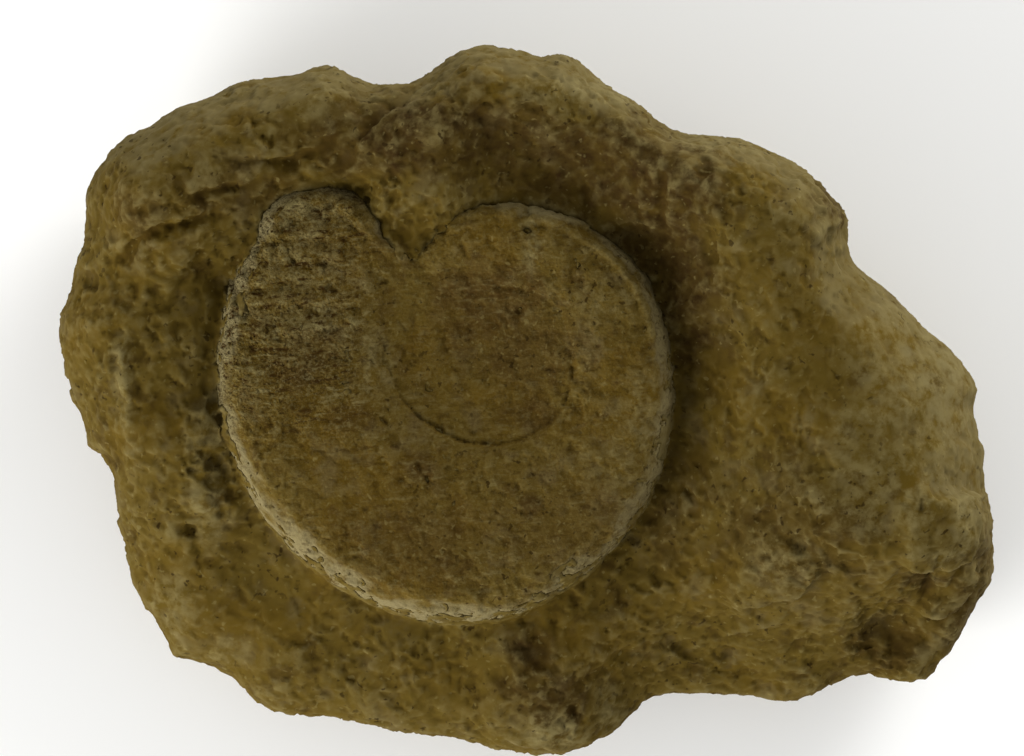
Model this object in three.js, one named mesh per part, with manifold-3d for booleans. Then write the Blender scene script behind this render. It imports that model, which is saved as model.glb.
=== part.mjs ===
// An ammonite in its limestone matrix, lying on the matrix's flat underside with the fossil facing up.
// Two pieces: the coiled ammonite, and the block of matrix with the socket that it sits in.
// Millimetres, +Z up, origin at the middle of the footprint on the resting face.

import * as THREE from "three";
import { mergeVertices } from "three/addons/utils/BufferGeometryUtils.js";
import Module from "manifold-3d";

const { degToRad, euclideanModulo, lerp, radToDeg, smoothstep } = THREE.MathUtils;

// Driving dimensions
const coilHub = { x: -7.6, y: 9.7, z: 30 }; // middle of the umbilicus, on the coil's mid-plane
const coilDip = degToRad(4); // the coil leans down to the lower left
const halfThickness = 14.5; // of the outer whorl
const venterFullness = 2.5; // 2 is round, more is squarer
const umbilicalWall = 2; // the flank falls by this into the seam
const umbilicalWidth = 8; // over this distance
const umbilicusDrop = 2.6; // from the flank's crown to the inner whorls
const umbilicusDish = 1.4; // more at the hub
const clearance = 0.42; // between the ammonite and its socket
const blockHub = { x: -6, y: 2 }; // the block's columns fan out from here
const floorLevel = 33; // matrix surface beside the ammonite
const floorRise = 0.08; // per millimetre towards +Y

// Mesh density
const blockColumns = 136;
const blockTopRings = 18;
const blockSideRings = 6;
const coilColumns = 72;
const coilInnerRings = 4;
const coilFlankRings = 8;
const coilUnderRings = 5;

// The block's outline from above, counterclockwise from the right.
const blockOutline = [
  [78.4, 2.4], [76.6, 5.8], [73.5, 10.1], [70, 12.2], [66.6, 16], [61, 21.2], [57.3, 23.9], [55.8, 28],
  [55.9, 31.7], [52.5, 36.3], [47.6, 41.2], [41, 44], [35, 46], [28, 46.5], [23.7, 47.9], [19.6, 51.8],
  [11.6, 56.5], [9.5, 59], [6.6, 60.7], [3.5, 60.1], [-3, 61.4], [-9.5, 61.7], [-14, 59.6], [-18.8, 56],
  [-24, 55.6], [-28.2, 55.6], [-34, 58.7], [-41, 56.6], [-49.2, 56], [-54, 53.8], [-60.5, 51.8],
  [-64.5, 49.2],
  [-70.5, 46], [-73.8, 42.6], [-76.4, 36.8], [-77, 30], [-78.8, 24.3], [-78.6, 19.6], [-80.9, 17],
  [-81.7, 11], [-80.2, 4], [-79.2, -0.3], [-76.7, -3.4], [-78, -6.2], [-73.6, -9.8], [-72.3, -14.5],
  [-71.8, -22], [-70.2, -29.5], [-67.2, -37.2], [-64.2, -39.8], [-62.8, -44.6], [-57.6, -46], [-51.5, -48.8],
  [-48.6, -51.8], [-45.8, -54.8],
  [-32.5, -56.3], [-24, -58], [-11, -59.8], [-3, -61.6], [6, -61.8], [13.2, -60], [18.8, -56.2],
  [21.6, -52.6],
  [27, -51.8], [39.5, -52.3], [46.5, -53.4], [53, -51.2], [60, -48.8], [66.3, -50.3], [70.3, -49.4],
  [75.6, -43],
  [78.6, -35.6], [81, -33], [81.3, -26], [81.8, -20.5], [80, -14.5], [79.8, -8], [77.6, 0.2],
];

// The ammonite's outline on its mid-plane, counterclockwise from the right, about the umbilicus.
// The notch at the upper left lies between the aperture and the whorl before it.
const coilOutline = [
  [33.6, -8], [32.6, 2], [28.6, 12.2], [22.4, 19], [13.6, 23.8], [4, 25.6], [-4, 24.4], [-9.6, 20.9],
  [-12.6, 17.6], [-15.6, 21.4], [-20.4, 26], [-27, 28.2], [-34, 26.8], [-38.9, 21.5], [-43.4, 12.6],
  [-46.2, 2], [-46.2, -8], [-43.9, -17.7], [-38.8, -28], [-31, -37], [-20.6, -43.8], [-8, -47.8], [5, -46.6],
  [16, -40.6], [25.6, -31.6], [31.4, -20.6],
];

// The seam where the last whorl laps the one before: [bearing, radius].
// Bearings are degrees counterclockwise from the right.
const seamKnots = [
  [0, 14.5], [45, 12], [85, 10.2], [112, 11.5], [127, 15.5], [150, 17.2], [180, 17], [210, 17.3], [270, 16.6],
  [315, 16.3], [340, 15.6], [360, 14.5],
];

// The venter: [bearing, width that the flank rounds off over, down to the mid-plane]. It is worn
// round on the exposed left, and keeps its shoulder where the matrix shelters it.
const venterKnots = [
  [0, 4.6], [70, 4.6], [120, 5.4], [160, 7.5], [205, 8.5], [270, 8.5], [320, 6], [360, 4.6],
];

// The block's edge: [bearing, height of its widest line, width that the top rounds off over, and
// the foot's size as a share of the outline's].
const edgeKnots = [
  [0, 25, 25, 0.76], [20, 27, 20, 0.78], [38, 30, 12, 0.84], [58, 33, 10, 0.86], [78, 35, 10, 0.82],
  [98, 34, 11, 0.78], [118, 31, 13, 0.8], [140, 27, 17, 0.74], [158, 24, 16, 0.7], [172, 21, 11, 0.76],
  [190, 18, 13, 0.8], [208, 14, 32, 0.78], [230, 12, 33, 0.72], [252, 15, 22, 0.72], [275, 16, 17, 0.68],
  [292, 12, 19, 0.76], [312, 10, 22, 0.8], [327, 12, 22, 0.74], [342, 19, 12, 0.7], [360, 25, 25, 0.76],
];

// What rises above the floor: each landform follows a path, and fades out at its reach.
const rises = [
  { path: [[-12, 53], [0, 53.5], [9, 51], [18, 47], [25, 42]], reach: 36, rise: 15.5 }, // north ridge
  { path: [[29, 41], [38, 36], [46, 28]], reach: 32, rise: 14 }, // north-east shoulder
  { path: [[50, 24], [56, 8], [60, -10]], reach: 48, rise: 16 }, // east dome
  { path: [[-27, 51], [-46, 47], [-62, 38]], reach: 23, rise: 13 }, // north-west lobe
  { path: [[-72, 24], [-64, 13], [-62, 0], [-61, -12]], reach: 20, rise: 4 }, // west crest
  { path: [[-16, 36], [-20, 28]], reach: 13, rise: 10.5 }, // fill behind the aperture
];

// What is worn or broken out of it.
const hollows = [
  { path: [[-4, 43], [8, 41], [17, 35], [24, 27]], reach: 12, drop: 4.5 }, // behind the fossil
  { path: [[29, 14], [31, 4], [28, -9], [20, -24]], reach: 8, drop: 1 }, // along its right
  { path: [[24, -56], [36, -48], [62, -44]], reach: 20, drop: 8 }, // south-east slope
  { path: [[-56, -18], [-40, -38], [-14, -46]], reach: 15, drop: 2 }, // south-west slope
  { path: [[78, -30], [71, -32], [66, -38]], reach: 10, drop: 5 }, // scoop under the south-east ledge
  { path: [[-19, 58], [-27, 49], [-44, 41], [-58, 33]], reach: 9, drop: 2 }, // between ridge and lobe
];

/** Distance from a point to a path of straight stretches. */
function distanceTo(path, x, y) {
  const point = new THREE.Vector3(x, y, 0);
  const nearest = new THREE.Vector3();
  const stretch = new THREE.Line3();
  let least = Infinity;
  for (let i = 1; i < path.length; i++) {
    stretch.start.set(...path[i - 1], 0);
    stretch.end.set(...path[i], 0);
    least = Math.min(least, stretch.closestPointToPoint(point, true, nearest).distanceTo(point));
  }
  return least;
}

/** What a table of bearings says for the bearing of (x, y), eased between its rows. */
function readKnots(knots, x, y) {
  const bearing = euclideanModulo(radToDeg(Math.atan2(y, x)), 360);
  const next = knots.findIndex(([at]) => at > bearing);
  const [fromAt, ...from] = knots[next - 1];
  const [toAt, ...to] = knots[next];
  return from.map((value, i) => lerp(value, to[i], smoothstep(bearing, fromAt, toAt)));
}

/** Slow, uneven swelling of a broken stone surface, between about -1 and 1. */
function swell(x, y, z) {
  return (
    (Math.sin(0.31 * x + 0.12 * y + 1.3) * Math.sin(0.27 * y - 0.19 * z + 0.4) +
      0.7 * Math.sin(0.17 * x - 0.33 * z + 2.1) * Math.sin(0.38 * y + 0.21 * x + 0.9) +
      0.5 * Math.sin(0.55 * z + 0.23 * x - 0.41 * y)) /
    1.6
  );
}

/** The quarter-round that a surface falls away by near its edge: 0 on the edge, 1 from `width` inwards. */
function edgeRound(distance, width, power) {
  const left = 1 - Math.min(distance / width, 1);
  return (1 - left ** power) ** (1 / power);
}

/** Moves a unit sphere's vertices to where place(column, ring) puts them, and leaves one closed surface. */
function wrapSphere(columns, rings, place) {
  const geometry = new THREE.SphereGeometry(1, columns, rings);
  geometry.deleteAttribute("normal");
  geometry.deleteAttribute("uv");
  const position = geometry.getAttribute("position");
  for (let ring = 0; ring <= rings; ring++) {
    for (let column = 0; column <= columns; column++) {
      const at = place(column % columns, ring);
      position.setXYZ(ring * (columns + 1) + column, at.x, at.y, at.z);
    }
  }
  return mergeVertices(geometry);
}

/** Points spread evenly along a smooth closed line through the knots. */
function spreadAlong(knots, count) {
  const line = new THREE.CatmullRomCurve3(
    knots.map(([x, y]) => new THREE.Vector3(x, y, 0)),
    true,
    "centripetal",
  );
  line.arcLengthDivisions = 2000;
  return Array.from({ length: count }, (_, i) => line.getPointAt(i / count));
}

// ---- Ammonite ----

/** Upper surface of the coil above its mid-plane, at a point `inside` millimetres in from the outline. */
function coilHeight(radius, seam, inside, venterWidth) {
  if (radius < seam) {
    return halfThickness - umbilicusDrop - umbilicusDish * (1 - radius / seam);
  }
  const wall = umbilicalWall * (1 - smoothstep(radius, seam, seam + umbilicalWidth));
  return halfThickness * edgeRound(inside, venterWidth, venterFullness) - wall;
}

function ammoniteGeometry() {
  const rim = spreadAlong(coilOutline, coilColumns);
  const closedOutline = [...rim, rim[0]].map((p) => [p.x, p.y]);
  const topRings = coilInnerRings + coilFlankRings;

  return wrapSphere(coilColumns, topRings + coilUnderRings, (column, ring) => {
    const edge = rim[column];
    const reach = Math.hypot(edge.x, edge.y);
    const seam = Math.min(readKnots(seamKnots, edge.x, edge.y)[0], reach - 4);
    const [venterWidth] = readKnots(venterKnots, edge.x, edge.y);
    let radius;
    if (ring <= coilInnerRings) {
      radius = (seam * ring) / coilInnerRings;
    } else if (ring <= topRings) {
      const across = (ring - coilInnerRings) / coilFlankRings;
      radius = lerp(seam, reach, Math.sin((across * Math.PI) / 2));
    } else {
      radius = reach * Math.cos((((ring - topRings) / coilUnderRings) * Math.PI) / 2);
    }
    const x = (edge.x / reach) * radius;
    const y = (edge.y / reach) * radius;
    if (ring === topRings) {
      return new THREE.Vector3(x, y, 0);
    }
    const inside = distanceTo(closedOutline, x, y);
    const under = -halfThickness * edgeRound(inside, venterWidth, venterFullness);
    return new THREE.Vector3(x, y, ring < topRings ? coilHeight(radius, seam, inside, venterWidth) : under);
  });
}

// ---- Matrix ----

/** Upper surface of the matrix, before its edge is rounded off. Where rises overlap, the higher one leads. */
function surfaceLevel(x, y) {
  const fade = (path, reach) => 1 - smoothstep(distanceTo(path, x, y), reach * 0.1, reach);
  const cubed = rises.reduce((sum, { path, reach, rise }) => sum + (rise * fade(path, reach)) ** 3, 0);
  const dropped = hollows.reduce((sum, { path, reach, drop }) => sum + drop * fade(path, reach), 0);
  return floorLevel + floorRise * y + Math.cbrt(cubed) - dropped + 0.6 * swell(x, y, 0);
}

function matrixGeometry() {
  const rim = spreadAlong(blockOutline, blockColumns);
  const closedOutline = [...rim, rim[0]].map((p) => [p.x, p.y]);
  const hub = new THREE.Vector3(blockHub.x, blockHub.y, 0);
  const footRing = blockTopRings + blockSideRings;
  const firstShare = 0.36; // the first ring lies inside the socket, where the mesh needs no detail

  return wrapSphere(blockColumns, footRing + 1, (column, ring) => {
    const edge = rim[column];
    const [rimLevel, roundWidth, footShare] = readKnots(edgeKnots, edge.x, edge.y);
    const edgeLevel = rimLevel + 1.6 * swell(edge.x, edge.y, 40);
    if (ring > footRing) {
      return hub.clone();
    }
    if (ring > blockTopRings) {
      const down = (ring - blockTopRings) / blockSideRings;
      const footing = footShare + 0.04 * swell(edge.x, edge.y, 10);
      const bulge = 1 - down ** 1.7 + 0.16 * Math.sin(Math.PI * down) * swell(edge.x, edge.y, 30 * down);
      const at = hub.clone().lerp(edge, lerp(footing, 1, bulge));
      at.z = edgeLevel * (1 - Math.sin((down * Math.PI) / 2));
      return at;
    }
    const outward = Math.max(ring - 1, 0) / (blockTopRings - 1);
    const share = ring === 0 ? 0 : lerp(firstShare, 1, 1 - (1 - outward) ** 1.35);
    const at = hub.clone().lerp(edge, share);
    const inside = ring === blockTopRings ? 0 : distanceTo(closedOutline, at.x, at.y);
    at.z = lerp(edgeLevel, surfaceLevel(at.x, at.y), edgeRound(inside, roundWidth, 2));
    return at;
  });
}

// ---- Solids ----

const wasm = await Module();
wasm.setup();

function solidOf(geometry) {
  return new wasm.Manifold(
    new wasm.Mesh({
      numProp: 3,
      vertProperties: new Float32Array(geometry.getAttribute("position").array),
      triVerts: new Uint32Array(geometry.index.array),
    }),
  );
}

function largestBody(solid) {
  return solid.decompose().reduce((most, body) => (body.volume() > most.volume() ? body : most));
}

function geometryOf(solid) {
  const mesh = solid.getMesh();
  const position = new Float32Array(mesh.numVert * 3);
  for (let i = 0; i < mesh.numVert; i++) {
    position.set(mesh.vertProperties.subarray(i * mesh.numProp, i * mesh.numProp + 3), i * 3);
  }
  return new THREE.BufferGeometry()
    .setAttribute("position", new THREE.BufferAttribute(position, 3))
    .setIndex(new THREE.BufferAttribute(mesh.triVerts, 1));
}

/** The same surface, moved out along its normals. */
function grown(geometry, distance) {
  const bigger = geometry.clone();
  bigger.computeVertexNormals();
  const position = bigger.getAttribute("position");
  const normal = bigger.getAttribute("normal");
  for (let i = 0; i < position.count; i++) {
    position.setXYZ(
      i,
      position.getX(i) + normal.getX(i) * distance,
      position.getY(i) + normal.getY(i) * distance,
      position.getZ(i) + normal.getZ(i) * distance,
    );
  }
  return bigger;
}

function placeCoil(object) {
  object.position.set(coilHub.x, coilHub.y, coilHub.z);
  object.setRotationFromAxisAngle(new THREE.Vector3(1, -1, 0).normalize(), coilDip);
  object.updateMatrix();
  return object;
}

const coil = ammoniteGeometry();
const socket = grown(coil, clearance).applyMatrix4(placeCoil(new THREE.Object3D()).matrix);
const block = geometryOf(largestBody(solidOf(matrixGeometry()).subtract(solidOf(socket))));
block.computeVertexNormals();
coil.computeVertexNormals();

const matrix = new THREE.Mesh(
  block,
  new THREE.MeshStandardMaterial({ color: 0x564722, roughness: 0.95, metalness: 0, flatShading: true }),
);
matrix.name = "matrix";

const ammonite = placeCoil(
  new THREE.Mesh(
    coil,
    new THREE.MeshStandardMaterial({ color: 0x5a4b26, roughness: 0.9, metalness: 0, flatShading: true }),
  ),
);
ammonite.name = "ammonite";

// The outline is drawn about the fossil, so the pair is moved to put the footprint's middle on the origin.
const specimen = new THREE.Group();
specimen.add(matrix, ammonite);
const box = new THREE.Box3().setFromObject(matrix);
specimen.position.set(-(box.min.x + box.max.x) / 2, -(box.min.y + box.max.y) / 2, 0);

export default specimen;
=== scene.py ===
# Ammonite fossil in its loose block of oolitic limestone, lying face up on a pale floor.
# Lengths and places are millimetres on the block, x to the right and y to the back, from the
# middle of its footprint. They turn to metres only where Blender wants them.
import math

import bmesh
import bpy
import numpy as np
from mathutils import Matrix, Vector, noise


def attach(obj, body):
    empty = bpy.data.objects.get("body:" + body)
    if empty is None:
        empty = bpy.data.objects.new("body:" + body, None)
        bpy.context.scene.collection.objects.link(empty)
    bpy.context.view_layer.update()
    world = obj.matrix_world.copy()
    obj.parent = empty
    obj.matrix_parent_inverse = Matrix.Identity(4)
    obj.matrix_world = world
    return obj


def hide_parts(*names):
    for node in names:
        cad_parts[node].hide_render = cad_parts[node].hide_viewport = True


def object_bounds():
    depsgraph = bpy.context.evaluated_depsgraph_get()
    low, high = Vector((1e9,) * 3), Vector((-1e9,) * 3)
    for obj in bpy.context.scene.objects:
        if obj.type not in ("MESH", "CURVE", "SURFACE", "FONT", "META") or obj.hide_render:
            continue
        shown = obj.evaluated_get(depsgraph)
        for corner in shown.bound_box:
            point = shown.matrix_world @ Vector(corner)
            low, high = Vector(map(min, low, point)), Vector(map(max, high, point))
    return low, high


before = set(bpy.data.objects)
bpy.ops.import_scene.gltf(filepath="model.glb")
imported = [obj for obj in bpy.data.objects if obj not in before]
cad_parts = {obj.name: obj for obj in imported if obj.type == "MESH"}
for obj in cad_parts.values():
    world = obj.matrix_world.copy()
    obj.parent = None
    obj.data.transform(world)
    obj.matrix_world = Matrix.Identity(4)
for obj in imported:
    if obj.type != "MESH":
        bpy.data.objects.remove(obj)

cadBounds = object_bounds()
coarser = 1.0
print("frame loaded")


# colours and shader nodes

def linear(colour):
    # "#rrggbb" as it looks on a screen, turned to the linear values that shaders want
    parts = [int(colour[i:i + 2], 16) / 255 for i in (1, 3, 5)]
    return [p / 12.92 if p < 0.04045 else ((p + 0.055) / 1.055) ** 2.4 for p in parts] + [1.0]


def add(tree, kind, inputs=None, **settings):
    # one node, its settings, and its inputs as values or as links
    made = tree.nodes.new(kind)
    for name, value in settings.items():
        setattr(made, name, value)
    for name, value in (inputs or {}).items():
        if isinstance(value, bpy.types.NodeSocket):
            tree.links.new(value, made.inputs[name])
        else:
            made.inputs[name].default_value = value
    return made


# mesh helpers

def pointsOf(obj):
    co = np.empty(len(obj.data.vertices) * 3)
    obj.data.vertices.foreach_get("co", co)
    return co.reshape(-1, 3) * 1000


def placePoints(obj, co):
    obj.data.vertices.foreach_set("co", (co / 1000).ravel())
    obj.data.update()


def normalsOf(obj):
    normals = np.empty(len(obj.data.vertices) * 3)
    obj.data.vertex_normals.foreach_get("vector", normals)
    return normals.reshape(-1, 3)


def edgesOf(obj):
    ends = np.empty(len(obj.data.edges) * 2, dtype=np.int32)
    obj.data.edges.foreach_get("vertices", ends)
    return ends.reshape(-1, 2)


def modify(obj, kind, **settings):
    # adds one modifier and bakes it into the mesh
    step = obj.modifiers.new(kind, kind)
    for name, value in settings.items():
        setattr(step, name, value)
    bpy.context.view_layer.update()
    evaluated = obj.evaluated_get(bpy.context.evaluated_depsgraph_get())
    baked = bpy.data.meshes.new_from_object(evaluated)
    obj.modifiers.clear()
    old = obj.data
    obj.data = baked
    bpy.data.meshes.remove(old)


def eased(values, edges, rounds, pull=0.5):
    # each point moves part of the way to the mean of its neighbours, many times over
    one, two = edges.T
    count = len(values)
    neighbours = np.bincount(one, minlength=count) + np.bincount(two, minlength=count)
    for _ in range(rounds):
        sums = [np.bincount(one, v[two], count) + np.bincount(two, v[one], count) for v in values.T]
        values = values + pull * (np.stack(sums, 1) / neighbours[:, None] - values)
    return values


def copyOfNode(node, name):
    obj = bpy.data.objects.new(name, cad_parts[node].data.copy())
    bpy.context.scene.collection.objects.link(obj)
    obj.data.materials.clear()
    work = bmesh.new()
    work.from_mesh(obj.data)
    bmesh.ops.remove_doubles(work, verts=work.verts, dist=1e-6)
    work.to_mesh(obj.data)
    work.free()
    return obj


def thinOut(obj, hidden, keep):
    # fewer faces where there is nothing to see: a `keep` share of those at the `hidden` points
    group = obj.vertex_groups.new(name="hidden")
    group.add(np.flatnonzero(hidden).tolist(), 1.0, "REPLACE")
    ratio = 1 - hidden.mean() * (1 - keep)
    modify(obj, "DECIMATE", ratio=ratio, vertex_group="hidden", vertex_group_factor=100)
    obj.vertex_groups.clear()


def smoothFacets(obj, back, rounds):
    # each round eases the points and then pushes them back out, so that only the facets go
    edges = edgesOf(obj)
    co = pointsOf(obj)
    for pull in (0.6, back) * rounds:
        co = eased(co, edges, 1, pull)
    placePoints(obj, co)


def slopeOf(normals, turn):
    # how steep each point is, and how squarely it faces `turn` radians round from the right
    tilt = normals[:, :2]
    steep = np.linalg.norm(tilt, axis=1)
    return steep, tilt @ [math.cos(turn), math.sin(turn)] / np.maximum(steep, 1e-6)


def smoothStep(value, low, high):
    t = np.clip((value - low) / (high - low), 0, 1)
    return t * t * (3 - 2 * t)


def lumps(co, size, octaves, seed):
    # soft noise from about -1 to 1, with lumps `size` mm across
    return np.array([noise.fractal(p, 0.9, 2.1, octaves) for p in (co / size + 11.7 * seed).tolist()])


def cracked(co, size, octaves, seed):
    # noise with sharp creases, as on broken stone
    return np.array([noise.turbulence(p, octaves, True) for p in (co / size + 11.7 * seed).tolist()]) - 0.5


def stretched(co, bearing, factor):
    # co drawn out along a bearing, so that the noise read there runs in streaks that way
    turn = math.radians(bearing)
    along = co[:, 0] * math.cos(turn) + co[:, 1] * math.sin(turn)
    across = co[:, 1] * math.cos(turn) - co[:, 0] * math.sin(turn)
    return np.stack([along / factor, across, co[:, 2]], 1)


def pitted(co, size, share, seed):
    # 0 on the surface to 1 at the bottom of scattered round pits; a `share` of the cells hold one
    depth = np.zeros(len(co))
    for i, p in enumerate((co / size + 7.3 * seed).tolist()):
        distances, centres = noise.voronoi(p)
        pick = noise.cell(centres[0] * 19.19)
        if pick < share:
            width = 0.22 + 0.26 * pick / share
            depth[i] = max(0.0, 1 - (distances[0] / width) ** 2)
    return depth


def relief(pattern, sizes, co, seed):
    # sizes are the height, the distance across, and then the octaves or, for pits, the share
    height, across, third = sizes
    return height * pattern(co, across, third, seed)


def wandering(co, by, across, seed):
    # co pushed about a little, so that what is drawn there looks broken by hand
    return co + by * np.stack([lumps(co, across, 3, seed + i) for i in (1, 2, 3)], 1)


def distanceTo(path, co):
    # distance in plan from a path of straight stretches, which side of it each point is on, where
    # the left is positive, and how far along from 0 to 1
    best = np.full(len(co), 1e9)
    side = np.zeros(len(co))
    along = np.zeros(len(co))
    for i in range(len(path) - 1):
        start, end = np.array(path[i]), np.array(path[i + 1])
        run = end - start
        away = co[:, :2] - start
        t = np.clip(away @ run / (run @ run), 0, 1)
        gap = np.linalg.norm(away - t[:, None] * run, axis=1)
        nearer = gap < best
        best[nearer] = gap[nearer]
        side[nearer] = np.sign(run[0] * away[nearer, 1] - run[1] * away[nearer, 0])
        along[nearer] = (i + t[nearer]) / (len(path) - 1)
    return best, side, along


def spots(co, places):
    # how far inside soft, ragged patches each point is, from 0 to 1
    # places are (x, y, half of the width, half of the depth, strength)
    ragged = lumps(co, 5, 3, 5)
    inside = np.zeros(len(co))
    for x, y, across, deep, strength in places:
        away = np.hypot((co[:, 0] - x) / across, (co[:, 1] - y) / deep)
        inside = np.maximum(inside, strength * smoothStep(-away - 0.45 * ragged, -1.25, -0.45))
    return inside


def store(obj, name, values):
    layer = obj.data.attributes.new(name, "FLOAT", "POINT")
    layer.data.foreach_set("value", values.astype(np.float32))


# the fossil

fossil = {
    "voxel": 0.42,
    "facets": (-0.62, 30),  # how far each easing is pushed back out, and how many times
    "seatedBelow": 26,  # height under which the block hides it
    "umbilicus": (-8.0, 9.7),
    "aperture": (-35, 34),
    "seamWidth": 0.45,
    "seamDepth": 0.5,
    "seamBank": (0.5, 2.4),  # height of the swelling beside the seam, and how far off and wide it is
    "ribWidth": 1.1,
    "ribHeight": 0.6,
    "fullToward": 1.2,  # where the shoulder is fullest, in radians round from the right
    "fullShoulder": 1.1,
    "fullAperture": 2.0,
    "growthLine": 0.08,
    "growthLines": 34,  # per radian of the coil
    # height or depth, distance across, then octaves or share of the cells
    "swells": (0.22, 11, 3),
    "streaks": (0.5, 2.3, 3),
    "cracks": (0.22, 5, 4),
    "fineCracks": (0.07, 1.5, 2),
    "pits": (0.4, 2.6, 0.12),
    "pinholes": (0.22, 1.5, 0.06),
    "seam": [
        (-17, 35), (-20, 31), (-23.4, 25), (-25, 17.6), (-25, 10.6), (-24.4, 6), (-22, 1), (-19, -2.4),
        (-15, -5), (-11, -6.7), (-6, -7), (-1, -6), (3, -3.5), (5.8, 0), (7.2, 5), (7.2, 10), (5.4, 15.6),
        (0.6, 19.2), (-5, 20.2), (-10, 18.8), (-13.6, 15.6), (-14.8, 10.8), (-13.2, 6.4),
    ],
    "ribEnds": [
        ((-50, 12), (-25, 15)), ((-50.4, 17), (-27, 18.4)), ((-49.6, 21.4), (-27, 22.2)),
        ((-48.4, 25.4), (-28, 25.6)), ((-46.5, 29.4), (-28.4, 28.8)), ((-43.6, 33), (-30, 32)),
    ],
    "holes": [  # x, y, radius, depth
        (-49.8, 17.4, 1.0, 1.1), (-48.4, 15.6, 0.6, 0.7), (-0.8, 33, 1.5, 1.0), (-0.4, 29.6, 1.3, 1.0),
        (-1.6, 15.8, 1.1, 0.5), (-36.5, 32.8, 1.8, 0.5), (-19, -11, 1.1, 0.6), (-17.4, -12.6, 0.8, 0.5),
    ],
    # stains, and pale patches that are partly painted light, as x, y, half of the width, half of the depth,
    # strength
    "ochre": [
        (-7, 26, 7, 6, 0.9), (-40, 17.4, 8, 1.6, 0.9), (-32, 27, 8, 5, 0.5), (-17, 8, 5, 7, 0.8),
        (-38, -2, 9, 5, 0.6), (-4, 2, 9, 4, 0.6), (-24, -14, 7, 6, 0.5), (-12, -20, 8, 5, 0.4),
    ],
    "umberStainAndShade": [
        (-1.4, 15.8, 1.8, 2.2, 1), (0.6, -17, 2.6, 2.6, 0.9), (-3.5, -23, 2, 2, 0.6),
        (-18.5, -11.3, 3, 2.4, 0.8), (-39, 8, 8, 5, 0.5), (-33, 12, 6, 3, 0.3), (-30, -3, 5, 3, 0.5),
        (-20, -24, 16, 8, 0.5), (-1, 10, 11, 9, 0.6), (-7, 17, 10, 9, 0.85), (0.5, -2, 6, 3.4, 0.7),
        (6, -20, 14, 9, 0.35),
    ],
    # pale patches: partly paler stone and partly painted light, lifting the shaded shoulder on the right and
    # the top edge of the body chamber
    "paleAndPaintedLight": [
        (-38, 33, 8, 5, 0.9), (-38, 20, 11, 12, 0.45), (-31, 13.5, 8, 1.4, 0.8), (-26, 8, 3, 7, 0.6),
        (0.4, 28, 2.6, 5, 1), (12, 18, 6, 5, 0.4), (20, -2, 5, 9, 0.5), (14, -10, 6, 5, 0.4),
    ],
    # steep faces paler toward one side: partly worn bare, partly painted sheen and light
    "bareAndSheen": 0.75,
    "bareAndSheenToward": 205,  # degrees round from the right
    "bareAndSheenElsewhere": 0.75,
}


def shapeCoil(co, normals):
    # the seam with its bank, the ribs, and the fuller parts of the shoulder
    warped = wandering(co, 0.9, 5, 10)
    gap, side, along = distanceTo(fossil["seam"], co + 0.3 * (warped - co))
    clear = 0.2 + 0.8 * smoothStep(along, 0.15, 0.34) * (1 - 0.75 * smoothStep(along, 0.5, 0.7))
    bank, bankWidth = fossil["seamBank"]
    rise = -clear * fossil["seamDepth"] * np.exp(-(gap / fossil["seamWidth"]) ** 2)
    rise += (0.3 + 0.7 * clear) * bank * (side < 0) * np.exp(-((gap - bankWidth) / bankWidth) ** 2)
    for ends in fossil["ribEnds"]:
        gap, _, along = distanceTo(ends, warped)
        swelling = (0.3 + 0.7 * np.sin(np.pi * along)) * (0.75 + 0.6 * lumps(co, 7, 2, 14))
        rise += fossil["ribHeight"] * np.exp(-(gap / fossil["ribWidth"]) ** 2) * swelling

    steep, facing = slopeOf(normals, fossil["fullToward"])
    x, y = fossil["aperture"]
    shoulder = fossil["fullShoulder"] * smoothStep(facing, 0.3, 0.85)
    besideAperture = fossil["fullAperture"] * smoothStep(np.hypot(co[:, 0] - x, co[:, 1] - y), 14, 7)
    return rise + np.maximum(shoulder, besideAperture) * smoothStep(steep, 0.25, 0.7)


def wearCoil(co, warped, rough, chamber):
    # growth lines cross the whorl, and streaks cross the body chamber
    x, y = fossil["umbilicus"]
    turn = np.arctan2(co[:, 1] - y, co[:, 0] - x)
    reach = np.hypot(co[:, 0] - x, co[:, 1] - y)
    onWhorl = smoothStep(reach, 17, 22)
    growth = np.sin(fossil["growthLines"] * (turn - 0.012 * reach) + 3 * lumps(co, 12, 2, 2))
    streaky = chamber * smoothStep(lumps(co, 6, 2, 15), -0.5, 0.5)
    rise = fossil["growthLine"] * growth * onWhorl
    rise += streaky * relief(cracked, fossil["streaks"], stretched(warped, 4, 3.2), 7)
    rise += relief(lumps, fossil["swells"], co, 4)
    rise += rough * relief(cracked, fossil["cracks"], warped, 5)
    rise += rough * relief(cracked, fossil["fineCracks"], warped, 6)
    rise -= rough * relief(pitted, fossil["pits"], warped, 1)
    rise -= relief(pitted, fossil["pinholes"], warped, 2)
    for x, y, across, deep in fossil["holes"]:
        away = np.hypot(co[:, 0] - x, co[:, 1] - y) / across
        rise -= deep * (1 - smoothStep(away + 0.3 * lumps(co, 1.6, 2, 8), 0.45, 1.05))
    return rise


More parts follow.
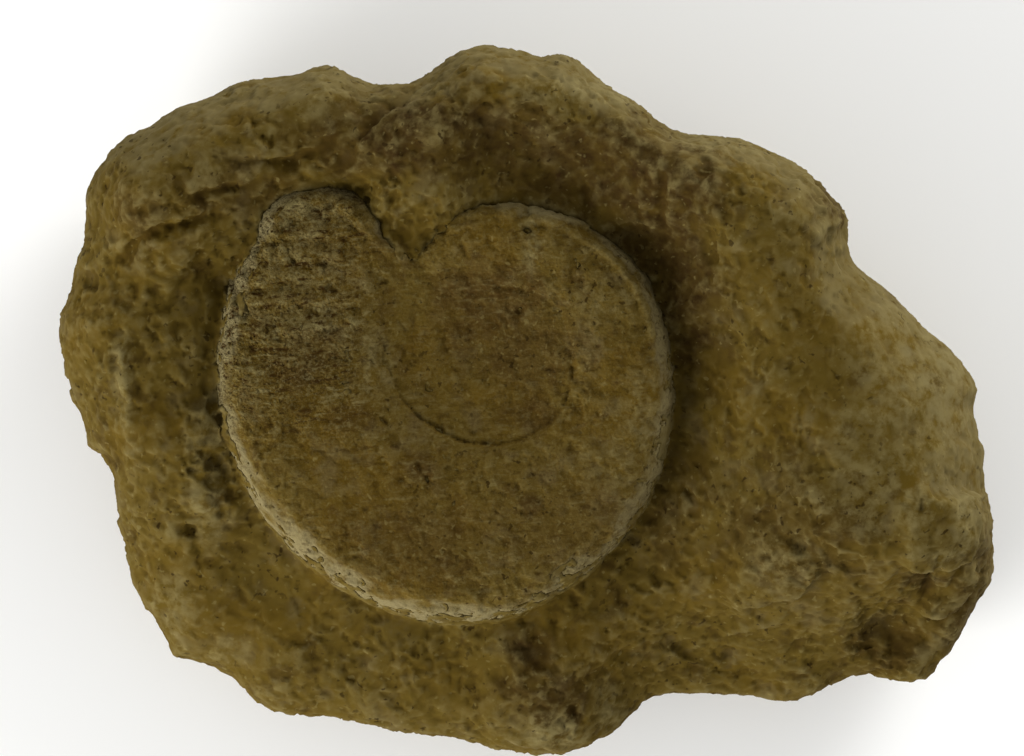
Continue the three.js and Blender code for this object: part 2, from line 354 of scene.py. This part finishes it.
def makeAmmonite():
    # remeshed fine enough for the ribs, then worked over like the weathered mould it is
    obj = copyOfNode("ammonite", "ammonite_mould")
    modify(obj, "REMESH", mode="VOXEL", voxel_size=fossil["voxel"] * coarser / 1000)
    smoothFacets(obj, *fossil["facets"])
    thinOut(obj, pointsOf(obj)[:, 2] < fossil["seatedBelow"], 0.06)
    start = pointsOf(obj)
    normals = normalsOf(obj)
    upper = smoothStep(start[:, 2], fossil["seatedBelow"], fossil["seatedBelow"] + 5)
    co = start + (upper * shapeCoil(start, normals))[:, None] * normals

    # the wear is roughest on the body chamber, by the aperture
    chamber = smoothStep(-co[:, 0], 22, 34) * smoothStep(co[:, 1], -12, 4)
    rough = 0.5 + 0.5 * smoothStep(lumps(co, 14, 2, 3) + 0.5 * chamber, -0.2, 0.5)
    rise = wearCoil(co, wandering(start, 0.9, 5, 10), rough, chamber)
    placePoints(obj, co + (upper * rise)[:, None] * normals)
    store(obj, "coarse", 0.4 + 0.15 * rough + 0.85 * chamber)
    return obj


# the block

block = {
    "voxel": 0.5,
    "facets": (-0.61, 45),  # how far each easing is pushed back out, and how many times
    "triangles": 190000,
    "plugWider": 0.5,
    "plugLower": 1.2,
    "foot": 0.3,  # whatever is lower than this lies flat on the ground
    # height or depth, distance across, then octaves or share of the cells
    "swells": (0.4, 18, 3),
    "cracks": (0.55, 9, 4),
    "streaks": (0.3, 2.6, 4),
    "fracture": (0.9, 3.6, 4),
    "grain": (0.1, 1.1, 2),
    "pits": (0.5, 3, 0.14),
    "pinholes": (0.26, 1.6, 0.08),
    "beds": (1.3, 10, 4),
    "undercut": (1.8, 15, 2),
    "grooves": [  # path, width, depth
        ([(-70.5, 24.8), (-67.5, 27), (-62, 29.6), (-57, 30.8), (-53, 32.6)], 0.9, 1.7),
        ([(-60, 33.4), (-55, 35.6), (-50, 36.4), (-45, 38.4)], 0.8, 1.0),
        ([(-51, 41.2), (-46, 41.6), (-40.5, 41.2), (-36.4, 43.6), (-33, 46.4)], 0.9, 1.2),
        ([(-31.4, 41.4), (-29, 45), (-26.4, 49.8), (-23, 51.4), (-18.8, 55.2)], 1.0, 1.4),
        ([(24.4, 41), (22.2, 37), (21.6, 32), (22.6, 28)], 1.0, 1.0),
        ([(28.6, 30.4), (29.8, 26), (29.6, 22)], 1.1, 0.8),
        ([(47, 40.6), (50, 37.6), (53.6, 33.4)], 0.9, 1.3),
        ([(45.6, 20), (47, 14), (49, 10), (48, 5)], 2.6, 0.6),
        ([(7, -50), (14, -45), (22, -43), (30, -40.6), (36, -39.4)], 1.6, 0.6),
    ],
    "ridges": [  # path, width, height
        ([(-70, 15), (-69, 5), (-68.5, -4), (-69, -15)], 1.5, 1.0),
        ([(-72, 13), (-72.5, 6), (-74.5, 3)], 1.2, 0.8),
        ([(20, -45), (25, -43.5), (30, -41.4), (36, -40), (42, -38.6), (50, -38.4)], 1.6, 0.8),
        ([(40, 8), (38, -2), (36, -14)], 3.2, 0.5),
    ],
    "steps": [  # path with the high side on its left, reach of the high side, height
        ([(33, -35.2), (40, -34.9), (45, -34), (48.4, -31.4), (51, -27.5)], 9, 1.2),
        ([(60, -27), (66, -28), (72, -26.8), (74.4, -26), (75.4, -24), (75.6, -21), (76, -17.5), (76.2, -14)],
         12, 2.8),
        ([(67.4, -35.6), (70.5, -36.8), (73.4, -34.8), (75.4, -32), (76.4, -27)], 6, 2.6),
        ([(-62, 18), (-58, 25), (-52, 29)], 6, 0.7),
        ([(55, 31), (51.6, 36), (46, 40.4)], 6, 0.9),
    ],
    "bowls": [  # x, y, radius, depth, which is negative for a mound
        (-54, 22, 4.2, 0.6), (-19.5, 28, 6, 1.4), (-56, -5, 6, -1.1), (-55.5, -14, 6, -1.1),
        (-25.5, 34.5, 4.5, -1.8), (70, -32, 2.4, 0.8), (75, -34.6, 1.8, 0.6), (69.5, -27.8, 1.1, 1.0),
        (66.5, -17.6, 0.7, 0.6), (35, 42, 1.2, 0.8), (27.5, -43.4, 2.2, 0.9), (-53, -19, 1.0, 0.9),
        (-59, -22, 0.9, 0.6), (7.5, -54.3, 1.6, 0.9), (5.6, -55.6, 1.0, 0.6), (-51, 20, 1.6, 1.2),
        (1, -44, 3.2, 0.8), (62, -42, 7, 1.6), (-76, 21, 1.6, 0.8), (-66, 33, 1.4, 0.8), (-45, 45, 1.2, 0.7),
        (31, 24, 1.6, 0.8), (50, -28.8, 0.8, 0.5),
    ],
    # wear, stains, painted shade and painted light as x, y, half of the width, half of the depth, strength
    "smooth": [
        (64, 4, 17, 20, 1), (58, -14, 12, 10, 0.8), (-50, -38, 22, 14, 0.6), (-62, 46, 12, 8, 0.5),
        (-38, 50, 9, 6, 0.5),
    ],
    "broken": [
        (-64, 30, 14, 9, 1), (-42, 44, 16, 8, 0.9), (-16, 54, 14, 7, 0.6), (-68, 8, 9, 18, 0.8),
        (12, 50, 18, 8, 0.6), (-30, 38, 8, 6, 0.8), (74, -28, 9, 9, 0.6), (-56, -16, 8, 8, 0.4),
    ],
    "ochre": [
        (-66, 34, 9, 6, 0.6), (-60, -30, 10, 8, 0.8), (-50, -40, 12, 6, 0.5), (-20, 44, 10, 5, 0.5),
        (-76, 14, 5, 8, 0.8), (14, -44, 10, 6, 0.7), (50, 15, 6, 16, 0.4), (-12, -48, 16, 6, 0.5),
    ],
    # umber patches: partly stain and partly painted shade, standing in for the shadow in the moat right of
    # the fossil and under the ledge at the right, and darkening the inner slope of the north ridge
    "umberStainAndShade": [
        (0, -44, 5, 6, 1), (-3, -49, 4, 3, 0.8), (62, -42, 8, 6, 0.7), (53, 36, 5, 6, 1),
        (28, -14, 4, 10, 0.4), (-66, 33, 6, 4, 0.6), (-30, 42, 8, 4, 0.8), (5, -52, 7, 7, 0.9),
        (45, -22, 16, 12, 0.55), (-50, 36, 12, 6, 0.6), (-28, 46, 15, 7, 0.7), (-6, 45, 15, 8, 0.9),
        (12, 41, 14, 10, 1),
        (23, 34, 11, 13, 1), (27, 20, 6, 16, 1), (31, 15, 5, 14, 0.4), (23, -22, 5, 8, 0.6),
        (-22, 46, 10, 8, 1), (20, 36, 9, 14, 1), (79, -27, 2.4, 8, 0.8), (68, -30.5, 5, 1.8, 0.8),
        (77, -37, 8, 8, 0.7),
    ],
    # pale patches: partly paler stone and partly painted light, as in the valley left of the fossil and along
    # the lip of the ledge at the right
    "paleAndPaintedLight": [
        (4, -57, 8, 3, 0.9), (66, 2, 12, 16, 0.6), (60, -14, 14, 8, 0.6), (10, 53, 14, 3, 0.7),
        (44, -28, 8, 6, 0.5), (34, 45, 14, 2.6, 0.6), (-62, -35, 4, 5, 0.6), (-52, -43, 5, 3, 0.5),
        (-70, 4, 2, 12, 0.6), (-55.5, -10, 4, 16, 0.6), (14, -53, 3, 5, 0.6), (74.4, -20, 2, 6, 0.9),
        (71, -26, 4, 1.4, 0.8),
    ],
    # steep faces paler toward one side: partly worn bare, partly painted sheen and light
    "bareAndSheen": 0.47,
    "bareAndSheenToward": 55,  # degrees round from the right
    "bareAndSheenElsewhere": 0,
}


def fillSocket(obj, plug):
    # the CAD socket is filled with a plug, a little wider and lower than the fossil, so that the
    # sculpted fossil can be cut out afresh
    drop = [0, 0, block["plugLower"]]
    placePoints(plug, pointsOf(plug) + block["plugWider"] * normalsOf(plug) - drop)
    work = bmesh.new()
    work.from_mesh(obj.data)
    work.from_mesh(plug.data)
    work.to_mesh(obj.data)
    work.free()
    bpy.data.objects.remove(plug)


def carveBlock(co, normals):
    # the landforms too small for the CAD block: clefts, worn ridges, broken ledges and hollows
    top = smoothStep(normals[:, 2], -0.05, 0.2)
    rise = np.zeros(len(co))
    warped = wandering(co, 1.1, 6, 20)
    ragged = lumps(co, 2.2, 3, 24)
    for path, width, depth in block["grooves"]:
        gap, _, along = distanceTo(path, warped)
        fading = 0.35 + 0.65 * np.sin(np.pi * np.clip(along, 0.04, 0.96))
        rise -= depth * np.exp(-(gap / width) ** 2) * fading
    for path, width, height in block["ridges"]:
        gap, _, along = distanceTo(path, warped)
        rise += height * np.exp(-(gap / width) ** 2) * np.sin(np.pi * np.clip(along, 0.05, 0.95))
    for path, reach, height in block["steps"]:
        gap, side, along = distanceTo(path, warped)
        ends = smoothStep(along, 0, 0.12) * smoothStep(along, 1, 0.88)
        rise += ends * height * smoothStep(gap * side, -0.6, 0.6) * np.exp(-(gap / reach) ** 2)
    for x, y, across, deep in block["bowls"]:
        away = np.hypot(warped[:, 0] - x, warped[:, 1] - y) / across
        rise -= deep * (1 - smoothStep(away + 0.35 * ragged, 0.3, 1.15))
    return top * rise


def breakBlock(co, normals):
    # hackly fracture, grain and pits, with less of them where the stone is worn smooth
    worn = 1 - 0.65 * spots(co, block["smooth"])
    broken = spots(co, block["broken"])
    hackly = worn * (0.5 + 0.5 * smoothStep(lumps(co, 18, 2, 31), -0.35, 0.45))
    warped = wandering(co, 1.3, 6, 40)
    rise = relief(lumps, block["swells"], co, 32)
    rise += hackly * relief(cracked, block["cracks"], warped, 33)
    rise += hackly * relief(lumps, block["streaks"], stretched(warped, 70, 1.8), 34)
    rise += broken * relief(cracked, block["fracture"], stretched(warped, 25, 1.5), 36)
    rise += worn * relief(lumps, block["grain"], warped, 35)
    rise -= hackly * relief(pitted, block["pits"], warped, 3)
    rise -= worn * relief(pitted, block["pinholes"], warped, 4)

    # the sides are broken across faint beds, and waste away towards the foot
    sheer = smoothStep(normals[:, 2], 0.5, 0.1)
    flattened = co * [0.6, 0.6, 1.6]
    deep, across, octaves = block["beds"]
    rise -= sheer * deep * np.clip(cracked(flattened, across, octaves, 37) + 0.1, 0, 1)
    deep, across, octaves = block["undercut"]
    low = smoothStep(co[:, 2], 17, 7)
    rise -= sheer * low * deep * (0.6 + 0.6 * lumps(flattened, across, octaves, 38))
    return rise


def keepInside(co):
    # the foot lies flat, and nothing reaches past the block's own size
    co[:, 2] = np.where(co[:, 2] < block["foot"], 0, co[:, 2])
    reach = np.array(cadBounds[1]) * 1000
    return co * np.minimum(1, (reach - 0.02) / np.abs(co).max(0))


def makeMatrix(seated):
    # the sculpted fossil is cut out of the sculpted block, so the two meet without a gap
    obj = copyOfNode("matrix", "limestone_matrix")
    fillSocket(obj, copyOfNode("ammonite", "plug"))
    modify(obj, "REMESH", mode="VOXEL", voxel_size=block["voxel"] * coarser / 1000)
    smoothFacets(obj, *block["facets"])
    thinOut(obj, normalsOf(obj)[:, 2] < -0.15, 0.12)
    co = pointsOf(obj)
    normals = normalsOf(obj)
    co = co + carveBlock(co, normals)[:, None] * normals
    placePoints(obj, co)
    normals = normalsOf(obj)
    aboveFoot = smoothStep(co[:, 2], 0.1, 2.5)
    co = co + (aboveFoot * breakBlock(co, normals))[:, None] * normals
    placePoints(obj, keepInside(co))
    modify(obj, "BOOLEAN", operation="DIFFERENCE", solver="MANIFOLD", object=seated)
    obj.data.calc_loop_triangles()
    modify(obj, "DECIMATE", ratio=min(1, block["triangles"] / len(obj.data.loop_triangles)))
    steep = smoothStep(normalsOf(obj)[:, 2], 0.75, 0.4)
    store(obj, "coarse", 1.5 + 0.4 * np.maximum(spots(pointsOf(obj), block["broken"]), steep))
    return obj


# surface masks that the stone's shader reads

def weather(obj, stone, bareAndSheen):
    # crest and hollow come from how far each point stands above or below its eased surroundings, and the
    # hollow mask paints shade into creases and hollows
    closeBy, widely = 0.2, 0.9  # mm for a full crest or hollow, close by and more widely
    co = pointsOf(obj)
    edges = edgesOf(obj)
    normals = normalsOf(obj)
    near = ((co - eased(co, edges, 8)) * normals).sum(1) / closeBy
    soft = eased(co, edges, 60)
    wide = ((co - soft) * normals).sum(1) / widely
    store(obj, "crest", np.clip(near, 0, 1) * 0.3 + np.clip(wide, 0, 1) * 0.5)
    store(obj, "hollowShade", np.clip(-near, 0, 1) * 0.6 + np.clip(-wide, 0, 1) * 0.4)

    # steep faces are made paler, most of all those that look toward one side: partly stone worn bare, partly
    # painted sheen and light from that side
    placePoints(obj, soft)
    steep, facing = slopeOf(normalsOf(obj), math.radians(stone["bareAndSheenToward"]))
    placePoints(obj, co)
    patchy = 0.4 * lumps(stretched(co, 160, 1.8), 5, 4, 9)
    elsewhere = stone["bareAndSheenElsewhere"]
    sided = elsewhere + (1 - elsewhere) * smoothStep(facing, -0.2, 0.45)
    # the umber patches are partly stain and partly painted shade, and the steep faces are made less pale
    # under them
    stainAndShade = spots(co, stone["umberStainAndShade"])
    store(obj, "bareAndSheen", bareAndSheen * sided * smoothStep(steep + patchy, 0.52, 0.84) * (1 - 0.8 * stainAndShade))
    store(obj, "ochre", spots(co, stone["ochre"]))
    store(obj, "umberStainAndShade", stainAndShade)
    store(obj, "paleAndPaintedLight", spots(co, stone["paleAndPaintedLight"]))


# limestone

patterns = {  # mm across, detail, roughness, distortion
    "broad": (17, 4.0, 0.55, 0.0),
    "blotch": (6.5, 5.0, 0.6, 0.2),
    "mottle": (2.4, 4.0, 0.65, 0.2),
    "fine": (0.6, 4.0, 0.75, 0.0),
    "shells": (1.1, 1.0, 0.4, 0.4),
}

layers = [  # colour, what it is kept within, the pattern that breaks it up, none at, full at, most
    ("ochre", None, "broad", 0.45, 0.66, 0.6),
    ("grey", None, "blotch", 0.52, 0.68, 0.6),
    ("umberStainAndShade", None, "blotch", 0.46, 0.32, 0.5),
    ("ochre", "ochre", "mottle", 0.3, 0.6, 0.8),
    # umber patches, partly stain and partly painted shade
    ("umberStainAndShade", "umberStainAndShade", "mottle", 1.1, 0, 1.25),
    # pale patches, partly paler stone and partly painted light
    ("paleAndPaintedLight", "paleAndPaintedLight", "mottle", 0.35, 0.65, 0.75),
    ("paleAndPaintedLight", "crest", "mottle", 0.3, 0.7, 0.7),
    # painted shade: darker in the creases and hollows of the mesh
    ("dark", "hollowShade", "mottle", 0.2, 0.6, 0.45),
    # steep faces paler: partly worn stone, partly painted sheen and light
    ("bareAndSheen", "bareAndSheen", "mottle", 0.25, 0.5, 1.0),
    ("paleAndPaintedLight", "coarse", "grain", 0.54, 0.7, 0.5),
    ("dark", "coarse", "grain", 0.47, 0.32, 0.8),
    ("paleAndPaintedLight", "coarse", "fine", 0.51, 0.66, 0.35),
    ("dark", "coarse", "fine", 0.49, 0.35, 0.45),
    ("pit", "pitted", "broad", 0.62, 0.4, 0.8),
    ("shell", None, "shells", 0.68, 0.76, 0.3),
]


def limestone(name, stone):
    # one recipe for both stones: stains and patches of painted shade and light, then what the mesh says,
    # which paints shade into hollows and sheen onto steep faces, then grain, pits and bits of shell
    material = bpy.data.materials.new(name)
    material.use_nodes = True
    tree = material.node_tree
    tree.nodes.clear()
    place = add(tree, "ShaderNodeTexCoord").outputs["Object"]
    drawn = add(tree, "ShaderNodeMapping", {
        "Vector": place, "Rotation": (0, 0, math.radians(stone["grainBearing"])), "Scale": (3.2, 1, 1)},
        vector_type="TEXTURE").outputs["Vector"]

    fields = {}
    for called in ("coarse", "crest", "hollowShade", "bareAndSheen", "ochre", "umberStainAndShade", "paleAndPaintedLight"):
        fields[called] = add(tree, "ShaderNodeAttribute", attribute_name=called).outputs["Fac"]
    own = {"grain": (stone["grainMm"], 4.0, 0.6, 0.3), "pits": (stone["pitMm"], 2.0, 0.5, 0.3)}
    for called, (acrossMm, detail, roughness, distortion) in {**patterns, **own}.items():
        fields[called] = add(tree, "ShaderNodeTexNoise", {
            "Vector": drawn if called == "grain" else place, "Scale": 1000 / acrossMm,
            "Detail": detail, "Roughness": roughness, "Distortion": distortion}).outputs["Fac"]
    edge = stone["pitEdge"]
    fields["pitted"] = add(tree, "ShaderNodeMapRange", {
        "Value": fields["pits"], "From Min": edge, "From Max": edge - 0.08},
        interpolation_type="SMOOTHSTEP").outputs["Result"]

    colour = linear(stone["body"])
    for over, within, pattern, none, full, most in layers:
        amount = add(tree, "ShaderNodeMapRange", {
            "Value": fields[pattern], "From Min": none, "From Max": full, "To Max": most},
            interpolation_type="SMOOTHSTEP").outputs["Result"]
        if within:
            amount = add(tree, "ShaderNodeMath", {0: fields[within], 1: amount},
                         operation="MULTIPLY").outputs[0]
        # input 0 is the mix node's factor, and 6 and 7 are its colours
        colour = add(tree, "ShaderNodeMix", {0: amount, 6: colour, 7: linear(stone[over])},
                     data_type="RGBA").outputs[2]

    # only the finest relief is bump: ooids, pits and grain, up to about a millimetre across
    ooids = add(tree, "ShaderNodeTexVoronoi", {
        "Vector": place, "Scale": 1000 / stone["ooidMm"], "Randomness": 1.0}).outputs["Distance"]
    domes = add(tree, "ShaderNodeMapRange", {
        "Value": ooids, "From Min": 0.75, "From Max": 0.1, "To Max": 0.4},
        interpolation_type="SMOOTHSTEP").outputs["Result"]
    whereDeep = add(tree, "ShaderNodeMapRange", {
        "Value": fields["broad"], "From Min": 0.62, "From Max": 0.4},
        interpolation_type="SMOOTHSTEP").outputs["Result"]
    sunk = add(tree, "ShaderNodeMath", {0: fields["pitted"], 1: whereDeep}, operation="MULTIPLY").outputs[0]
    height = add(tree, "ShaderNodeMath", {0: domes, 1: fields["fine"]}, operation="ADD").outputs[0]
    height = add(tree, "ShaderNodeMath", {0: height, 1: sunk}, operation="SUBTRACT").outputs[0]
    height = add(tree, "ShaderNodeMath", {0: fields["grain"], 1: 1.5, 2: height},
                 operation="MULTIPLY_ADD").outputs[0]
    strength = add(tree, "ShaderNodeMath", {0: fields["coarse"], 1: 0.9}, operation="MULTIPLY").outputs[0]
    bump = add(tree, "ShaderNodeBump", {
        "Strength": strength, "Distance": stone["reliefMm"] / 1000, "Height": height})

    polish = add(tree, "ShaderNodeMapRange", {
        "Value": fields["mottle"], "From Min": 0.2, "From Max": 0.8, "To Max": 0.12},
        interpolation_type="SMOOTHSTEP").outputs["Result"]
    roughness = add(tree, "ShaderNodeMath", {0: 0.95, 1: polish}, operation="SUBTRACT").outputs[0]
    shader = add(tree, "ShaderNodeBsdfPrincipled", {
        "Base Color": colour, "Roughness": roughness, "Normal": bump.outputs["Normal"],
        "IOR": 1.5, "Specular IOR Level": 0.04})
    add(tree, "ShaderNodeOutputMaterial", {"Surface": shader.outputs["BSDF"]})
    return material


ammonite = makeAmmonite()
print("ammonite sculpted:", len(ammonite.data.polygons), "faces")
matrix = makeMatrix(ammonite)
print("matrix sculpted:", len(matrix.data.polygons), "faces")

# the middle of the coil is sunk and sheltered, so its steep faces get none of that paler wear and painted
# sheen
fromHub = np.linalg.norm(pointsOf(ammonite)[:, :2] - fossil["umbilicus"], axis=1)
weather(ammonite, fossil, fossil["bareAndSheen"] * smoothStep(fromHub, 20, 26))
weather(matrix, block, block["bareAndSheen"])
print("stone weathered")

# limestone mould of the shell, worn smooth: olive brown with ochre patches, and grey on its steep edges,
# partly worn bare and partly painted sheen
fossilStone = limestone("limestone_mould_worn", {
    "body": "#524217",
    "ochre": "#54400e",
    "grey": "#56492b",
    "umberStainAndShade": "#3a290f",
    "paleAndPaintedLight": "#776c45",
    "dark": "#322106",
    "pit": "#281b04",
    "shell": "#7d7144",
    "bareAndSheen": "#766c4c",
    "ooidMm": 0.6,
    "pitMm": 1.3,
    "pitEdge": 0.36,
    "grainMm": 1.0,
    "grainBearing": 4,
    "reliefMm": 0.3,
})

# oolitic limestone, broken and weathered: coarser grain, deeper stain and painted shade, dull all over
matrixStone = limestone("oolitic_limestone_weathered", {
    "body": "#4e3f14",
    "ochre": "#503e0e",
    "grey": "#524628",
    "umberStainAndShade": "#2e200a",
    "paleAndPaintedLight": "#746943",
    "dark": "#2c1d05",
    "pit": "#231703",
    "shell": "#786c41",
    "bareAndSheen": "#655c3d",
    "ooidMm": 0.7,
    "pitMm": 1.4,
    "pitEdge": 0.37,
    "grainMm": 1.2,
    "grainBearing": 62,
    "reliefMm": 0.4,
})

finishes = [  # piece, material, node that it stands for, slot
    (ammonite, fossilStone, "ammonite", "fossil_limestone"),
    (matrix, matrixStone, "matrix", "matrix_limestone"),
]
for obj, material, node, slot in finishes:
    obj.data.materials.clear()
    obj.data.materials.append(material)
    obj.data.shade_smooth()
    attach(obj, "root")
    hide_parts(node)
print("stone dressed")

# floor, light and camera

studio = {
    "floorReach": 6,  # metres from the middle
    "paper": "#fdfdfb",
    "glowLow": 1.8,
    "glowHigh": 0.3,
    "glowFade": (0.1, 0.6),  # from low to high, as the upright part of the direction
}

reach = studio["floorReach"]
floorMesh = bpy.data.meshes.new("floor")
corners = [(-reach, -reach, 0), (reach, -reach, 0), (reach, reach, 0), (-reach, reach, 0)]
floorMesh.from_pydata(corners, [], [(0, 1, 2, 3)])
floor = bpy.data.objects.new("floor", floorMesh)
bpy.context.scene.collection.objects.link(floor)

# matt white paper: even and without shine
paper = bpy.data.materials.new("paper_matt")
paper.use_nodes = True
paperShader = paper.node_tree.nodes["Principled BSDF"]
paperShader.inputs["Base Color"].default_value = linear(studio["paper"])
paperShader.inputs["Roughness"].default_value = 0.9
floorMesh.materials.append(paper)

# white tent: bright all round, and darker overhead where it is open
world = bpy.data.worlds.new("soft_tent")
world.use_nodes = True
tent = world.node_tree
direction = add(tent, "ShaderNodeTexCoord").outputs["Generated"]
upright = add(tent, "ShaderNodeSeparateXYZ", {"Vector": direction}).outputs["Z"]
low, high = studio["glowFade"]
glow = add(tent, "ShaderNodeMapRange", {
    "Value": upright, "From Min": low, "From Max": high,
    "To Min": studio["glowLow"], "To Max": studio["glowHigh"]}).outputs["Result"]
tent.nodes["Background"].inputs["Color"].default_value = linear("#ffffff")
tent.links.new(glow, tent.nodes["Background"].inputs["Strength"])
bpy.context.scene.world = world
bpy.context.scene.view_settings.view_transform = "Standard"

lights = [  # name, bearing and height in degrees, distance and size in metres, watts
    ("tent_front_left", 222, 17, 0.9, 0.6, 11),
    ("tent_back_right", 50, 17, 0.9, 0.6, 9),
]
for name, bearing, height, distance, size, watts in lights:
    lamp = bpy.data.lights.new(name, "AREA")
    lamp.shape = "DISK"
    lamp.size = size
    lamp.energy = watts
    obj = bpy.data.objects.new(name, lamp)
    turn = math.radians(bearing)
    rise = math.radians(height)
    toward = Vector((math.cos(turn) * math.cos(rise), math.sin(turn) * math.cos(rise), math.sin(rise)))
    obj.location = toward * distance
    obj.rotation_euler = toward.to_track_quat("Z", "Y").to_euler()
    bpy.context.scene.collection.objects.link(obj)

# straight above the fossil
view = {"aim": (-3.0, 4.4, 33), "distance": 985, "lens": 201, "sensor": 36, "clipEnd": 20}
camera = bpy.data.objects.new("camera", bpy.data.cameras.new("camera"))
camera.data.lens = view["lens"]
camera.data.sensor_width = view["sensor"]
camera.data.clip_end = view["clipEnd"]
camera.location = Vector(view["aim"]) / 1000 + Vector((0, 0, view["distance"] / 1000))
bpy.context.scene.collection.objects.link(camera)
bpy.context.scene.camera = camera
print("floor, light and camera set")
